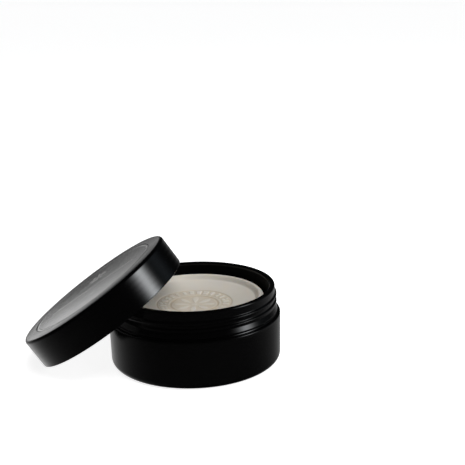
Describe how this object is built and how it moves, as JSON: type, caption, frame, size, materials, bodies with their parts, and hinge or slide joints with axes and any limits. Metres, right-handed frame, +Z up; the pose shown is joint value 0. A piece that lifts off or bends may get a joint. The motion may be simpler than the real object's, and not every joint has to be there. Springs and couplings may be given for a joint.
{
  "type": "shaving soap tub",
  "caption": "Round screw-top tub holding a stamped puck of hard shaving soap, open, with its threaded lid leaning on the rim.",
  "frame": {"origin": "centre of the tub's base, on the surface that it stands on", "axes": "+Z up along the tub's axis; -X towards the leaning lid; +Y completes the right-handed frame"},
  "size_m": [0.126, 0.0844, 0.0596],
  "materials": {
    "tub_plastic": "moulded high gloss black",
    "lid_plastic": "moulded gloss black with a finely handled top",
    "lid_label": "black film label with a fine silver print",
    "base_label": "coated paper sticker",
    "soap": "pressed hard soap, waxy satin, stamped face",
    "liner_foam": "fine closed-cell foam"
  },
  "bodies": {
    "tub": {"outer_shell": "tub_plastic", "inner_cup": "tub_plastic", "base_label": "base_label"},
    "puck": {"soap_puck": "soap"},
    "seal": {"lid_liner": "liner_foam"},
    "lid": {"lid_shell": "lid_plastic", "lid_label": "lid_label"}
  },
  "joints": [
    {"name": "lid_close", "type": "hinge", "parent": "tub", "child": "seal", "pos_m": [0.0027, 0, -0.03574], "axis": [0, 1, 0], "range_deg": [0, 34.3]},
    {"name": "lid_turn", "type": "hinge", "parent": "seal", "child": "lid", "pos_m": [-0.04109, 0, 0.02365], "axis": [-0.5635, 0, 0.8261], "continuous": true},
    {"name": "puck_lift", "type": "slide", "parent": "tub", "child": "puck", "axis": [0, 0, 1], "range_m": [0, 0.007]}
  ]
}
